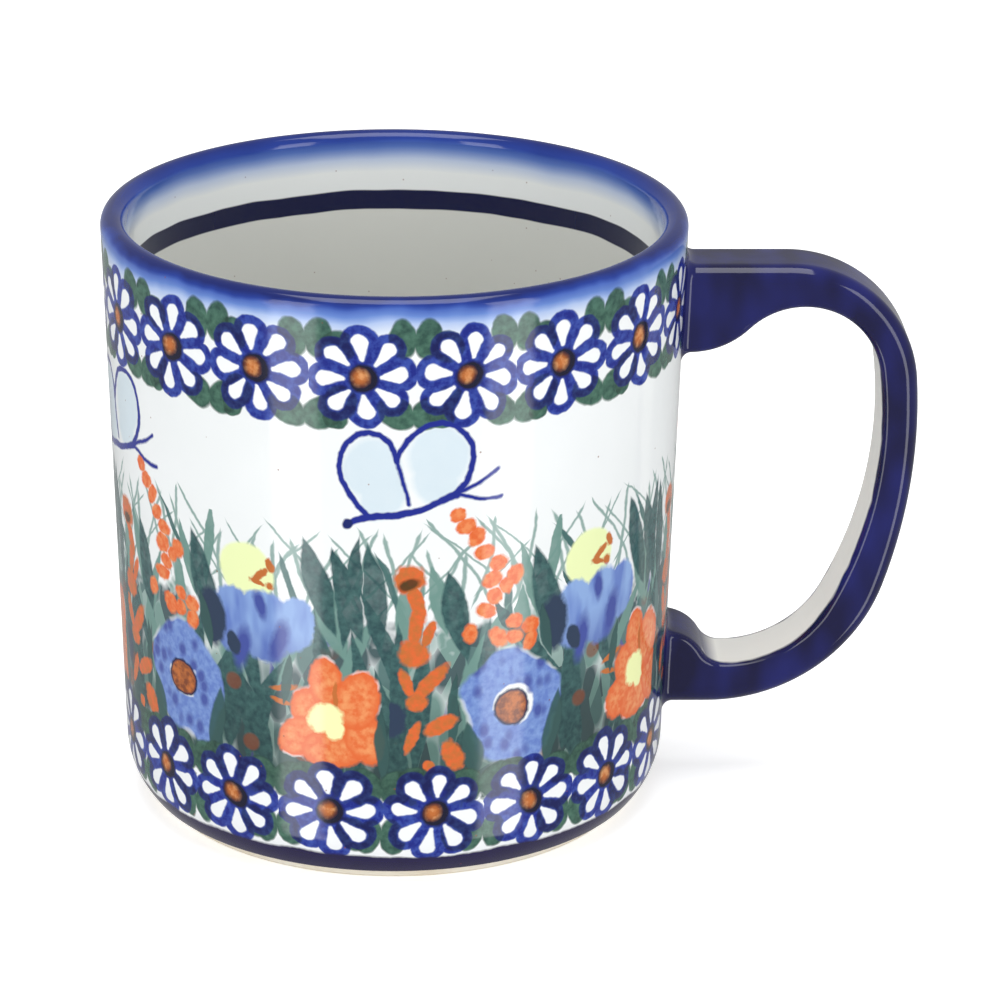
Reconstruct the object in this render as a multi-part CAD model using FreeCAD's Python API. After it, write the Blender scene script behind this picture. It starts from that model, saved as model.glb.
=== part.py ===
"""A hand-painted stoneware mug: a turned cup, a strap handle luted to its wall, and their fired glaze.

Millimetres. +Z is the cup's axis, with z = 0 on the surface that the mug stands on, and the handle
lies along +X in the plane y = 0. Each piece is its own solid, and pieces meet face to face.
"""

import FreeCAD, Part

import math
import os

# Cup, measured over the fired glaze
RIM_RADIUS = 45.0
HEIGHT = 95.0
OUTER_NARROWING = 2.25  # how much smaller the outer radius is where the foot curve starts
INNER_NARROWING = 3.6  # the same for the inner side, so the wall is thicker lower down
GLAZE = 0.35  # thickness of the fired glaze
LIP_RADIUS = 1.85  # the lip is a full round, so the glazed wall is twice this thick at the top
FOOT_CURVE_HEIGHT = 9.5
FOOT_CURVE_RADIUS = 12.0
FOOT_EDGE_HEIGHT = 1.0
GLAZE_LINE_HEIGHT = 2.0  # the glaze is wiped off the foot ring below this

# Cup, in the clay
FLOOR_THICKNESS = 4.5
FLOOR_CORNER_RADIUS = 9.0
RECESS_DEPTH = 1.6
RECESS_RADIUS = 34.0
RECESS_CORNER_RADIUS = 1.0
FOOT_RING_INNER_RADIUS = 35.0
FOOT_RING_EDGE = 0.5  # bevel along both edges of the foot ring

# Handle, measured over the glaze, in the plane y = 0
STRAP_WIDTH = 12.0
OUTER_EDGE_RADIUS = 2.5
INNER_EDGE_RADIUS = 1.3
BACK_CENTRE_HEIGHT = 61.0  # where the handle stands furthest from the cup
OUTER_BOW = {"top": 87.2, "bottom": 14.2, "reach": 81.4, "back": 87.0, "upper": 20.4, "lower": 28.7}
INNER_BOW = {"top": 80.6, "bottom": 21.1, "reach": 75.7, "back": 65.0, "upper": 12.0, "lower": 18.0}
UPPER_ROOT = {"bow_radius": 12.0, "root_radius": 13.0, "turn": 45.0}
LOWER_ROOT = {"bow_radius": 4.0, "root_radius": 7.0, "turn": 60.0}
ROOT_DEPTH = 41.0  # the strap's outline is closed at this distance from the axis, inside the wall

# Luting slip between the wall and each end of the handle
SLIP_THICKNESS = 0.5
SLIP_FILLET = 2.0

FAR = 2 * HEIGHT  # past everything, for the regions that trim a section
TOLERANCE = 0.01


def point(r, z):
    return FreeCAD.Vector(r, 0, z)


def on_circle(centre, radius, degrees):
    """Return the point of a circle in the plane y = 0, with 0 degrees along +X and 90 up."""
    angle = math.radians(degrees)
    return centre + radius * FreeCAD.Vector(math.cos(angle), 0, math.sin(angle))


def arc(centre, radius, start, end):
    """Return the edge of a circle from one angle to another, in degrees."""
    angles = (start, (start + end) / 2, end)
    return Part.Arc(*(on_circle(centre, radius, angle) for angle in angles)).toShape()


def line(start, end):
    return Part.LineSegment(start, end).toShape()


def face_of(edges):
    return Part.Face(Part.Wire(edges))


def polygon(points):
    return Part.Face(Part.makePolygon(points + points[:1]))


def turned(section):
    """Turn a section in the plane y = 0 about the cup's axis, with its seam opposite the handle."""
    centre = FreeCAD.Vector(0, 0, 0)
    axis = FreeCAD.Vector(0, 0, 1)
    solid = section.revolve(centre, axis, 360)
    solid.rotate(centre, axis, 180)
    return solid


# The cup's half section

WALL_TOP_HEIGHT = HEIGHT - LIP_RADIUS
LIP_CENTRE = point(RIM_RADIUS - LIP_RADIUS, WALL_TOP_HEIGHT)
CLAY_LIP_RADIUS = LIP_RADIUS - GLAZE
FLOOR_HEIGHT = RECESS_DEPTH + FLOOR_THICKNESS


def lean_of(narrowing):
    """Return how far one side of the wall leans from upright, in degrees."""
    return math.degrees(math.atan(narrowing / (WALL_TOP_HEIGHT - FOOT_CURVE_HEIGHT)))


OUTER_LEAN = lean_of(OUTER_NARROWING)
INNER_LEAN = lean_of(INNER_NARROWING)


def across(lean):
    """Return the outward direction square to a wall that leans."""
    return on_circle(point(0, 0), 1, -lean)


def down_wall(start, lean, height):
    """Follow a leaning wall from a point down to a height."""
    fall = start.z - height
    return point(start.x - fall * math.tan(math.radians(lean)), height)


def outer_edges(coat):
    """Return the cup's outer side from the foot's edge up to the lip, grown by a coat."""
    lip = LIP_CENTRE + across(OUTER_LEAN) * (CLAY_LIP_RADIUS + coat)
    curve_radius = FOOT_CURVE_RADIUS - GLAZE + coat
    curve_top = down_wall(lip, OUTER_LEAN, FOOT_CURVE_HEIGHT)
    centre = curve_top - across(OUTER_LEAN) * curve_radius
    end = -math.degrees(math.asin((centre.z - FOOT_EDGE_HEIGHT) / curve_radius))
    return [arc(centre, curve_radius, end, -OUTER_LEAN), line(curve_top, lip)]


def inner_edges():
    """Return the clay's inner side from the lip down the wall and in to the axis."""
    lip = LIP_CENTRE - across(INNER_LEAN) * CLAY_LIP_RADIUS
    centre_height = FLOOR_HEIGHT + FLOOR_CORNER_RADIUS
    corner_height = centre_height - FLOOR_CORNER_RADIUS * math.sin(math.radians(INNER_LEAN))
    corner_top = down_wall(lip, INNER_LEAN, corner_height)
    centre = corner_top - across(INNER_LEAN) * FLOOR_CORNER_RADIUS
    corner = arc(centre, FLOOR_CORNER_RADIUS, -INNER_LEAN, -90)
    floor = line(point(centre.x, FLOOR_HEIGHT), point(0, FLOOR_HEIGHT))
    return [line(lip, corner_top), corner, floor]


def underside_edges(foot_radius):
    """Return the recess and the foot ring, from the axis out to the foot's edge."""
    corner = point(RECESS_RADIUS - RECESS_CORNER_RADIUS, RECESS_DEPTH - RECESS_CORNER_RADIUS)
    recess = line(point(0, RECESS_DEPTH), point(corner.x, RECESS_DEPTH))
    outline = [
        point(RECESS_RADIUS, corner.z),
        point(FOOT_RING_INNER_RADIUS, FOOT_RING_EDGE),
        point(FOOT_RING_INNER_RADIUS + FOOT_RING_EDGE, 0),
        point(foot_radius - FOOT_RING_EDGE, 0),
        point(foot_radius, FOOT_RING_EDGE),
        point(foot_radius, FOOT_EDGE_HEIGHT),
    ]
    ring = [line(start, end) for start, end in zip(outline, outline[1:])]
    return [recess, arc(corner, RECESS_CORNER_RADIUS, 90, 0)] + ring


def cup_section():
    outside = outer_edges(0)
    lip = arc(LIP_CENTRE, CLAY_LIP_RADIUS, -OUTER_LEAN, 180 - INNER_LEAN)
    axis = line(point(0, FLOOR_HEIGHT), point(0, RECESS_DEPTH))
    foot_radius = outside[0].Vertexes[0].X
    return face_of(outside + [lip] + inner_edges() + [axis] + underside_edges(foot_radius))


def filled_cup(coat):
    """Return the cup as a solid with no hollow, grown by a coat, to trim what meets its wall."""
    edges = outer_edges(coat)
    low = edges[0].Vertexes[0].Point
    high = edges[-1].Vertexes[-1].Point
    outline = [high, point(0, high.z), point(0, low.z), low]
    closing = [line(start, end) for start, end in zip(outline, outline[1:])]
    return turned(face_of(edges + closing))


def coat_section(cup):
    """Return the section of a coat of glaze all over the cup."""
    right_of_axis = polygon([point(0, -FAR), point(FAR, -FAR), point(FAR, FAR), point(0, FAR)])
    return cup.makeOffset2D(GLAZE).common(right_of_axis).cut(cup)


def glaze_sections(cup):
    """Divide the coat at the lip's crest and the glaze line: outside, inside and under the floor."""
    coat = coat_section(cup)
    wall_middle = down_wall(LIP_CENTRE, OUTER_LEAN, FOOT_CURVE_HEIGHT)
    ring_middle = point((FOOT_RING_INNER_RADIUS + wall_middle.x) / 2, GLAZE_LINE_HEIGHT)
    divide = [point(LIP_CENTRE.x, FAR), LIP_CENTRE, wall_middle, ring_middle]
    outside = polygon(divide + [point(FAR, GLAZE_LINE_HEIGHT), point(FAR, FAR)])
    inside = polygon(divide + [point(0, GLAZE_LINE_HEIGHT), point(0, FAR)])
    wiped = RECESS_DEPTH - RECESS_CORNER_RADIUS
    under = polygon([point(0, wiped), point(ring_middle.x, wiped), ring_middle, point(0, GLAZE_LINE_HEIGHT)])
    return [coat.common(region) for region in (outside, inside, under)]


# The handle


def bow_arcs(bow, grow):
    """Return the three tangent arcs of one side of the strap, from top to bottom.

    Each arc is (centre, radius, start angle, end angle); grow moves the curve outward from the arcs.
    """
    back_centre = point(bow["reach"] - bow["back"], BACK_CENTRE_HEIGHT)

    def end_centre(radius, height):
        apart = bow["back"] - radius
        return point(back_centre.x + math.sqrt(apart**2 - (height - back_centre.z) ** 2), height)

    upper = end_centre(bow["upper"], bow["top"] - bow["upper"])
    lower = end_centre(bow["lower"], bow["bottom"] + bow["lower"])
    upper_turn = math.degrees(math.atan2(upper.z - back_centre.z, upper.x - back_centre.x))
    lower_turn = math.degrees(math.atan2(lower.z - back_centre.z, lower.x - back_centre.x))
    return [
        (upper, bow["upper"] + grow, 90, upper_turn),
        (back_centre, bow["back"] + grow, upper_turn, lower_turn),
        (lower, bow["lower"] + grow, lower_turn, -90),
    ]


def outer_outline(grow):
    """Return the strap's outer side, from its top root round to its lower root."""
    arcs = bow_arcs(OUTER_BOW, grow)
    start = on_circle(*arcs[0][:3])
    end = on_circle(*arcs[-1][:2], arcs[-1][3])
    to_bow = [line(point(ROOT_DEPTH, start.z), start)]
    return to_bow + [arc(*each) for each in arcs] + [line(end, point(ROOT_DEPTH, end.z))]


def root_arcs(crown, side, root, grow):
    """Return the two arcs that lead from the bow to the wall, as a reversed curve.

    crown is the point where the bow runs level, and side is 1 under the upper arm and -1 above the
    lower one. The first arc goes on bending as the bow does, and the second bends back.
    """
    first_radius = root["bow_radius"] - grow
    second_radius = root["root_radius"] + grow
    first = point(crown.x, crown.z - side * first_radius)
    first_end = side * (90 + root["turn"])
    second = on_circle(first, first_radius + second_radius, first_end)
    return [
        arc(first, first_radius, side * 90, first_end),
        arc(second, second_radius, first_end - side * 180, -side * 90),
    ]


def inner_outline(grow):
    """Return the strap's inner side, from its lower root round to its top root."""
    arcs = bow_arcs(INNER_BOW, -grow)
    crown = on_circle(*arcs[0][:3])
    sole = on_circle(*arcs[-1][:2], arcs[-1][3])
    upper = root_arcs(crown, 1, UPPER_ROOT, grow)
    lower = root_arcs(sole, -1, LOWER_ROOT, grow)
    low_end = lower[-1].Vertexes[-1].Point
    high_end = upper[-1].Vertexes[-1].Point
    from_wall = [line(point(ROOT_DEPTH, low_end.z), low_end)]
    to_wall = [line(high_end, point(ROOT_DEPTH, high_end.z))]
    return from_wall + lower + [arc(*each) for each in arcs] + upper + to_wall


def strap(coat):
    """Return the strap with rounded edges, running on into the wall, grown by a coat."""
    grow = coat - GLAZE
    half_width = STRAP_WIDTH / 2 + grow
    outer = outer_outline(grow)
    inner = inner_outline(grow)
    outer_ends = (outer[0].Vertexes[0].Point, outer[-1].Vertexes[-1].Point)
    inner_ends = (inner[0].Vertexes[0].Point, inner[-1].Vertexes[-1].Point)
    closing = [line(outer_ends[1], inner_ends[0]), line(inner_ends[1], outer_ends[0])]
    side = face_of(Part.sortEdges(outer + inner + closing)[0])
    side.translate(FreeCAD.Vector(0, -half_width, 0))
    solid = side.extrude(FreeCAD.Vector(0, 2 * half_width, 0))
    for outline, radius in ((outer, OUTER_EDGE_RADIUS), (inner, INNER_EDGE_RADIUS)):
        middles = [edge.CenterOfMass for edge in outline]
        along = [edge for edge in solid.Edges if runs_along(edge, middles, half_width)]
        solid = solid.makeFillet(radius + grow, along)
    return solid


def runs_along(edge, middles, half_width):
    """Say whether an edge is one of an outline's edges, moved to either side of the strap."""
    middle = edge.CenterOfMass
    if abs(abs(middle.y) - half_width) > TOLERANCE:
        return False
    return any(point(middle.x, middle.z).isEqual(other, TOLERANCE) for other in middles)


def wall_radius(height, coat):
    """Return the radius of the leaning wall at a height, grown by a coat."""
    lip = LIP_CENTRE + across(OUTER_LEAN) * (CLAY_LIP_RADIUS + coat)
    return down_wall(lip, OUTER_LEAN, height).x


def joined(coat, fillet):
    """Return the filled cup and the strap as one solid, with a fillet round both roots."""
    solid = filled_cup(coat).fuse(strap(coat))

    def on_wall(place):
        return abs(math.hypot(place.x, place.y) - wall_radius(place.z, coat)) < TOLERANCE

    def round_a_root(edge):
        places = [vertex.Point for vertex in edge.Vertexes] + [edge.valueAt(edge.ParameterRange[0])]
        places.append(edge.valueAt(sum(edge.ParameterRange) / 2))
        near_handle = edge.BoundBox.XMin > ROOT_DEPTH
        return near_handle and all(on_wall(place) for place in places)

    return solid.makeFillet(fillet, [edge for edge in solid.Edges if round_a_root(edge)])


def main():
    os.makedirs("parts", exist_ok=True)
    section = cup_section()
    outside, inside, under = glaze_sections(section)
    body = joined(0, SLIP_FILLET)
    glazed_body = joined(GLAZE, SLIP_FILLET - GLAZE)
    handle = strap(0).cut(filled_cup(SLIP_THICKNESS))
    slips = sorted(body.cut(filled_cup(0)).cut(handle).Solids, key=lambda solid: solid.CenterOfMass.z)
    lower_slip, upper_slip = slips
    pieces = {
        "cup": turned(section),
        "handle": handle,
        "upper_handle_slip": upper_slip,
        "lower_handle_slip": lower_slip,
        "outer_glaze": turned(outside).cut(body),
        "inner_glaze": turned(inside),
        "handle_glaze": glazed_body.cut(filled_cup(GLAZE)).cut(body),
        "base_glaze": turned(under),
    }
    for name, shape in pieces.items():
        print(f"{name}: {len(shape.Solids)} solid, {shape.Volume / 1000:.2f} cm3, valid {shape.isValid()}")
        shape.exportStep(f"parts/{name}.step")


main()
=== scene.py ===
"""Looks of a hand-painted stoneware mug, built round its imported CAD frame. Lengths are in mm."""

import math

import bmesh
import bpy
from mathutils import Matrix, Vector

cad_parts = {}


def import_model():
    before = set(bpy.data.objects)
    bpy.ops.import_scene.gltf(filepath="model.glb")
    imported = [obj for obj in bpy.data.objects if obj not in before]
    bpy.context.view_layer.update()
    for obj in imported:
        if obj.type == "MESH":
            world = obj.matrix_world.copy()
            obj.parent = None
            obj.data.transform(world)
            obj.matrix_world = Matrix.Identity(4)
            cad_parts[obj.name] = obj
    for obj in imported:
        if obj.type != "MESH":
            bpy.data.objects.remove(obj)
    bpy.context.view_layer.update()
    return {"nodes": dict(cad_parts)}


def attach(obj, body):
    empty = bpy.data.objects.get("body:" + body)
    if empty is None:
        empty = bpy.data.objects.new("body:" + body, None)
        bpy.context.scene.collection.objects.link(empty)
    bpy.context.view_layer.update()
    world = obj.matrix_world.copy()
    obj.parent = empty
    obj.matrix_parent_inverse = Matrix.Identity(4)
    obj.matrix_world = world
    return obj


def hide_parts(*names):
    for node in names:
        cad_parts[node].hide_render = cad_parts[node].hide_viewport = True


MM = 0.001

# The cup's outline over the glaze.
RIM_RADIUS = 45.0
HEIGHT = 95.0
GLAZE = 0.35
LIP_RADIUS = 1.85
LIP_HEIGHT = HEIGHT - LIP_RADIUS
LIP_CENTRE = RIM_RADIUS - LIP_RADIUS
FOOT_CURVE_HEIGHT = 9.5
FOOT_CURVE_RADIUS = 12.0
OUTER_NARROWING = 2.25
INNER_NARROWING = 3.6
GLAZE_LINE_HEIGHT = 2.0
FLOOR_HEIGHT = 6.45
FLOOR_CORNER_RADIUS = 8.65
OUTER_LEAN = OUTER_NARROWING / (LIP_HEIGHT - FOOT_CURVE_HEIGHT)
INNER_LEAN = INNER_NARROWING / (LIP_HEIGHT - FOOT_CURVE_HEIGHT)
TURNS = 288

# How the painting is laid out round the wall, in mm along the rim's arc and mm up.
ROUND = 2 * math.pi * RIM_RADIUS
PATTERN_TURN = 1.57
HANDLE_U = ROUND / 4 + PATTERN_TURN
HANDLE_CLEARANCE = 28.0
HANDLE_HOLE_CENTRE = (57.0, 0.0, 54.0)
MEADOW_START = 0.5
MEADOW_WIDTH = ROUND / 5
PAINT_SPLIT_HEIGHT = 59.0
UPPER_DAISIES = (-52.3, -35.8, -19.9, -3.3, 12.2, 26.9, 44.3, 59.6)
UPPER_DAISY_HEIGHT = 83.2
LOWER_DAISIES = (-57.4, -41.7, -26.2, -9.1, 7.5, 23.9, 40.0, 56.0)
LOWER_DAISY_HEIGHT = 12.8
UPPER_DAISY_COUNT = 18
LOWER_DAISY_COUNT = 17
DAISY_PITCH = 15.7

# Green dabs in a gap between daisies: across, height, half width, half height, lean. The pairs are painted
# on both sides of the gap, the others only where they stand.
UPPER_PAIRS = ((1.9, 89.1, 2.1, 3.1, -8.0), (2.6, 77.6, 3.1, 2.4, 30.0))
UPPER_OTHERS = ((4.5, 87.8, 2.4, 2.5, 0.0), (4.9, 79.2, 2.4, 2.6, 0.0), (4.0, 76.6, 1.7, 1.5, 0.0))
LOWER_PAIRS = ((2.3, 17.2, 2.6, 3.0, -20.0), (1.8, 8.8, 1.9, 3.0, 12.0))
LOWER_OTHERS = ((-4.4, 9.2, 2.3, 3.0, 10.0), (4.8, 18.4, 2.6, 2.2, 0.0))

# The camera.
CAMERA_TARGET = (16.55, -0.58, 47.2)
CAMERA_DISTANCE = 643.9
CAMERA_AZIMUTH = -2.0
CAMERA_ELEVATION = 21.25
CAMERA_ROLL = 0.0106
LENS = 147.35

# The softboxes, in metres and watts.
TALL_SOFTBOX = (0.42, 2.0)
BROAD_SOFTBOX = (0.9, 0.9)
SOFTBOX_WATTS = 8.5
LIGHT_TARGET = (0.0, 0.0, 0.05)
FLOOR_SIZE = 6.0

# The white room's strength: as it lights the mug, as the glaze mirrors it, and as it looks.
ROOM_LIGHT = 0.66
ROOM_MIRRORED = 0.42
ROOM_LOOK = 1.15

# The floor's own light, as it falls on the mug and as it looks.
FLOOR_GLOW = 0.1
FLOOR_LOOK = 0.45


def linear(channel):
    """One 0-255 display channel as linear light."""
    share = channel / 255
    return share / 12.92 if share <= 0.04045 else ((share + 0.055) / 1.055) ** 2.4


def colour(red, green, blue):
    return (linear(red), linear(green), linear(blue), 1.0)


WHITE = colour(234, 237, 238)
COBALT = colour(14, 30, 98)
COBALT_DARK = colour(14, 14, 42)
COBALT_LIGHT = colour(70, 98, 190)
NAVY = colour(8, 14, 60)
LINE_BLUE = colour(20, 36, 134)
LEAF_DARK = colour(38, 70, 74)
LEAF = colour(64, 102, 100)
LEAF_LIGHT = colour(104, 140, 132)
GRASS = colour(134, 160, 154)
DAB_DARK = colour(44, 78, 68)
DAB_GREEN = colour(74, 114, 96)
SHADE_BLUE = colour(66, 78, 136)
SHADE_TEAL = colour(40, 56, 80)
WING = colour(226, 238, 246)
YELLOW = colour(226, 236, 178)
CREAM_YELLOW = colour(234, 240, 176)
ORANGE = colour(216, 98, 46)
ORANGE_LIGHT = colour(228, 152, 96)
RUST = colour(184, 104, 48)
EYE_LIGHT = colour(218, 160, 104)
BROWN = colour(120, 62, 34)
ASTER = colour(96, 122, 188)
ASTER_DARK = colour(62, 76, 150)
TULIP_LIGHT = colour(134, 164, 212)
FOOT_BAND = colour(26, 18, 64)
RIM_BLUE = colour(34, 66, 160)
RIM_PALE = colour(122, 158, 218)
CLAY = colour(246, 240, 226)
# The inside's white below its cobalt line, made greyer as painted shade deep in the cup.
INSIDE_PAINTED_SHADE = colour(216, 217, 211)
INSIDE_PALE = colour(236, 239, 238)


class Graph:
    """Adds shader nodes in the order in which they are worked out.

    A painting has hundreds of them, and the renderer keeps few results at a time. So a shape is used as
    soon as it is made, and textures read only the plain position, which needs no result from a shape.
    """

    def __init__(self, name):
        self.material = bpy.data.materials.new(name)
        self.material.use_nodes = True
        self.tree = self.material.node_tree
        self.tree.nodes.clear()

    def add(self, kind, *values, **settings):
        node = self.tree.nodes.new("ShaderNode" + kind)
        for name, value in settings.items():
            setattr(node, name, value)
        for index, value in enumerate(values):
            self.feed(node.inputs[index], value)
        return node

    def feed(self, socket, value):
        if isinstance(value, bpy.types.NodeSocket):
            self.tree.links.new(value, socket)
        else:
            socket.default_value = value

    def math(self, operation, *values):
        return self.add("Math", *values, operation=operation).outputs[0]

    def vector(self, operation, *values):
        return self.add("VectorMath", *values, operation=operation).outputs["Vector"]

    def length(self, vector):
        return self.add("VectorMath", vector, operation="LENGTH").outputs["Value"]

    def along(self, vector, axis):
        """How far a vector reaches along an axis."""
        return self.add("VectorMath", vector, axis, operation="DOT_PRODUCT").outputs["Value"]

    def combine(self, x, y, z=0.0):
        return self.add("CombineXYZ", x, y, z).outputs[0]

    def ramp(self, value, start, end, low=0.0, high=1.0):
        """value taken from start..end to low..high, and held at the ends."""
        return self.add("MapRange", value, start, end, low, high).outputs[0]

    def mix(self, factor, first, second, blend="MIX"):
        node = self.add("Mix", data_type="RGBA", blend_type=blend)
        self.feed(node.inputs[0], factor)
        self.feed(node.inputs[6], first)
        self.feed(node.inputs[7], second)
        return node.outputs[2]

    def noise(self, point, scale, detail=2.0, rough=0.5):
        node = self.add("TexNoise", noise_dimensions="3D")
        self.feed(node.inputs["Vector"], point)
        node.inputs["Scale"].default_value = scale
        node.inputs["Detail"].default_value = detail
        node.inputs["Roughness"].default_value = rough
        return node

    def cells(self, point, scale, randomness=1.0, feature="F1"):
        node = self.add("TexVoronoi", feature=feature)
        self.feed(node.inputs["Vector"], point)
        node.inputs["Scale"].default_value = scale
        node.inputs["Randomness"].default_value = randomness
        return node

    def position(self):
        """The point in mm in the part's own frame."""
        place = self.add("TexCoord").outputs["Object"]
        node = self.add("VectorMath", operation="SCALE")
        self.feed(node.inputs[0], place)
        node.inputs["Scale"].default_value = 1 / MM
        return node.outputs["Vector"]

    def surface(self, base, roughness, bump=None, bump_mm=0.02):
        """Ends the graph in one Principled surface."""
        shader = self.add("BsdfPrincipled")
        self.feed(shader.inputs["Base Color"], base)
        self.feed(shader.inputs["Roughness"], roughness)
        if bump is not None:
            relief = self.add("Bump")
            relief.inputs["Strength"].default_value = 1.0
            relief.inputs["Distance"].default_value = bump_mm * MM
            self.feed(relief.inputs["Height"], bump)
            self.feed(shader.inputs["Normal"], relief.outputs[0])
        output = self.add("OutputMaterial")
        self.feed(output.inputs["Surface"], shader.outputs[0])
        return self.material


class Painting(Graph):
    """A painting on the cup's wall, in mm round the rim's arc and mm up."""

    def __init__(self, name):
        super().__init__(name)
        self.place = self.position()
        x, y, z = self.add("SeparateXYZ", self.place).outputs
        angle = self.math("ARCTAN2", x, self.math("MULTIPLY", y, -1.0))
        flat_u = self.math("MULTIPLY_ADD", angle, RIM_RADIUS, PATTERN_TURN)
        wobble = self.noise(self.place, 0.12, 1.0).outputs["Color"]
        wobble = self.vector("MULTIPLY_ADD", wobble, (1.8, 1.8, 0.0), (-0.9, -0.9, 0.0))
        fine = self.noise(self.place, 0.9, 1.0).outputs["Color"]
        fine = self.vector("MULTIPLY_ADD", fine, (0.34, 0.34, 0.0), (-0.17, -0.17, 0.0))
        point = self.combine(flat_u, z)
        point = self.vector("ADD", point, wobble)
        self.u, self.z, _ = self.add("SeparateXYZ", self.vector("ADD", point, fine)).outputs
        self.height = z
        self.wash_noise = self.ramp(self.noise(self.place, 0.4, 2.0).outputs[0], 0.3, 0.62, 0.93, 1.0)
        self.fleck_noise = self.noise(self.place, 0.95, 2.0).outputs[0]
        self.colour = self.mix(self.noise(self.place, 0.05).outputs[0], WHITE, colour(224, 228, 228))

    def wash(self, mask, pigment, strength=1.0):
        """Thin paint: it darkens what is under it, unevenly."""
        if strength != 1.0:
            mask = self.math("MULTIPLY", mask, strength)
        mask = self.math("MULTIPLY", mask, self.wash_noise)
        self.colour = self.mix(mask, self.colour, pigment, "MULTIPLY")

    def brush(self, mask, pigment, body):
        """Even paint: it darkens what is under it, then hides the share of it that body says."""
        self.colour = self.mix(mask, self.colour, pigment, "MULTIPLY")
        self.colour = self.mix(self.math("MULTIPLY", mask, body), self.colour, pigment)

    def cover(self, mask, pigment):
        """Thick paint: it hides what is under it."""
        self.colour = self.mix(mask, self.colour, pigment)

    def local(self, point, centre, size=(1.0, 1.0), angle=0.0):
        """point seen from a brush dab: the dab's edge is one unit away along each of its axes."""
        if angle:
            turned = self.add("VectorRotate", rotation_type="Z_AXIS")
            self.feed(turned.inputs["Vector"], point)
            turned.inputs["Center"].default_value = (centre[0], centre[1], 0.0)
            turned.inputs["Angle"].default_value = -math.radians(angle)
            point = turned.outputs[0]
        shrink = (1 / size[0], 1 / size[1], 0.0)
        shift = (-centre[0] / size[0], -centre[1] / size[1], 0.0)
        return self.vector("MULTIPLY_ADD", point, shrink, shift)

    def dabs(self, point, shapes):
        """How far from the nearest of several oval dabs, where 1 is a dab's edge."""
        nearest = None
        for centre_u, centre_z, half_wide, half_high, angle in shapes:
            reach = self.length(self.local(point, (centre_u, centre_z), (half_wide, half_high), angle))
            nearest = reach if nearest is None else self.math("MINIMUM", nearest, reach)
        return nearest

    def strokes(self, point, lines):
        """How far in mm from the nearest of several straight strokes."""
        nearest = None
        for (start_u, start_z), (end_u, end_z) in lines:
            middle = ((start_u + end_u) / 2, (start_z + end_z) / 2)
            half = math.hypot(end_u - start_u, end_z - start_z) / 2
            angle = math.degrees(math.atan2(end_z - start_z, end_u - start_u))
            near = self.vector("ABSOLUTE", self.local(point, middle, angle=angle))
            near = self.vector("SUBTRACT", near, (half, 0.0, 0.0))
            reach = self.length(self.vector("MAXIMUM", near, (0.0, 0.0, 0.0)))
            nearest = reach if nearest is None else self.math("MINIMUM", nearest, reach)
        return nearest

    def leaf(self, point, tip, base, half_wide):
        """1 at the edge of a leaf pointed at both ends."""
        middle = ((tip[0] + base[0]) / 2, (tip[1] + base[1]) / 2)
        half = math.hypot(tip[0] - base[0], tip[1] - base[1]) / 2
        angle = math.degrees(math.atan2(tip[1] - base[1], tip[0] - base[0]))
        near = self.vector("ABSOLUTE", self.local(point, middle, (half, half_wide), angle))
        x = self.along(near, (1.0, 0.0, 0.0))
        return self.math("MULTIPLY_ADD", x, x, self.along(near, (0.0, 1.0, 0.0)))

    def ragged(self, reach, depth):
        """reach with its edge worn uneven by depth."""
        return self.math("MULTIPLY_ADD", self.fleck_noise, depth, self.math("SUBTRACT", reach, depth / 2))

    def inside(self, reach, edge=1.0, soft=0.08):
        return self.ramp(reach, edge + soft, edge - soft)

    def repeat(self, count, shift=0.0, source=None):
        """(mm from the middle of the nearest of count equal cells, that cell's own random number)."""
        width = ROUND / count
        cells = self.math("DIVIDE", self.math("SUBTRACT", source or self.u, shift), width)
        index = self.math("ROUND", cells)
        across = self.math("MULTIPLY", self.math("SUBTRACT", cells, index), width)
        chance = self.add("TexWhiteNoise", noise_dimensions="1D")
        self.feed(chance.inputs["W"], self.math("FLOORED_MODULO", index, float(count)))
        return across, chance.outputs["Value"]

    def hand_spaced(self, centres, count, shift=0.0):
        """As repeat, for cells whose middles are given one by one: centres, then evenly round the back."""
        node = self.add("FloatCurve")
        node.inputs["Factor"].default_value = 1.0
        curve = node.mapping.curves[0]
        spread = list(enumerate(centres))
        rest = (centres[0] + ROUND - centres[-1]) / (count - len(centres) + 1)
        after = [(len(centres) + n, centres[-1] + rest * (n + 1)) for n in range(count - len(centres))]
        before = [(n - count, centre - ROUND) for n, centre in after]
        keys = [(centre / ROUND + 0.5, (n + count) / (3 * count)) for n, centre in before + spread + after]
        keys = [key for key in keys if 0 < key[0] < 1]
        first = keys[0]
        last = keys[-1]
        slope = ROUND / rest / (3 * count)
        curve.points[0].location = (0.0, first[1] - first[0] * slope)
        curve.points[1].location = (1.0, last[1] + (1 - last[0]) * slope)
        for key in keys:
            curve.points.new(*key)
        for key_point in curve.points:
            key_point.handle_type = "VECTOR"
        node.mapping.update()
        share = self.math("MULTIPLY_ADD", self.u, 1 / ROUND, 0.5)
        share = self.math("WRAP", share, 1.0, 0.0)
        self.feed(node.inputs["Value"], share)
        cells = self.math("MULTIPLY_ADD", node.outputs[0], 3.0 * count, shift)
        index = self.math("ROUND", cells)
        across = self.math("MULTIPLY", self.math("SUBTRACT", cells, index), DAISY_PITCH)
        chance = self.add("TexWhiteNoise", noise_dimensions="1D")
        self.feed(chance.inputs["W"], self.math("FLOORED_MODULO", index, float(count)))
        return across, chance.outputs["Value"]


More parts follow.
